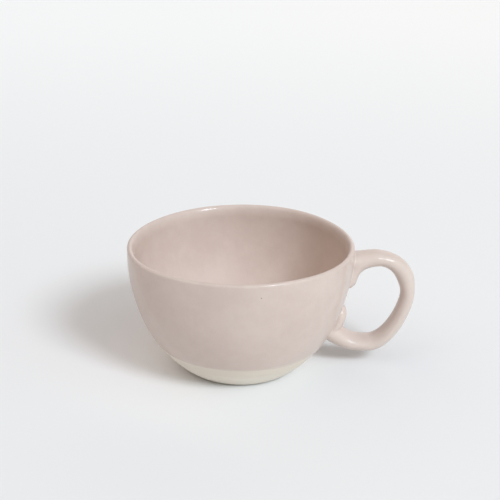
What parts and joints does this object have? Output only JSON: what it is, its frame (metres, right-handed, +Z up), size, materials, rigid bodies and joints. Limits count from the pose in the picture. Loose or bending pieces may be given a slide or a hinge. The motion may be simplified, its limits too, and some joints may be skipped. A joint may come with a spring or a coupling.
{
  "type": "cappuccino cup",
  "caption": "Wide, round-bellied cappuccino cup on a turned foot, with a pulled coil handle, a pale satin glaze and a bare clay base.",
  "frame": {"origin": "the centre of the foot ring, where the bowl's axis meets the table", "axes": "+Z up along the bowl's axis, +X out through the handle, +Y across the handle"},
  "size_m": [0.1406, 0.11, 0.0638],
  "materials": {
    "bare_clay": "matte, unglazed",
    "slip": "matte, fired on between the clay pieces",
    "glaze": "satin to glossy, pale pink-beige"
  },
  "bodies": {
    "root": {"bowl": "bare_clay", "handle": "bare_clay", "upper_slip": "slip", "lower_slip": "slip", "outer_glaze": "glaze", "inner_glaze": "glaze", "handle_glaze": "glaze"}
  },
  "joints": []
}
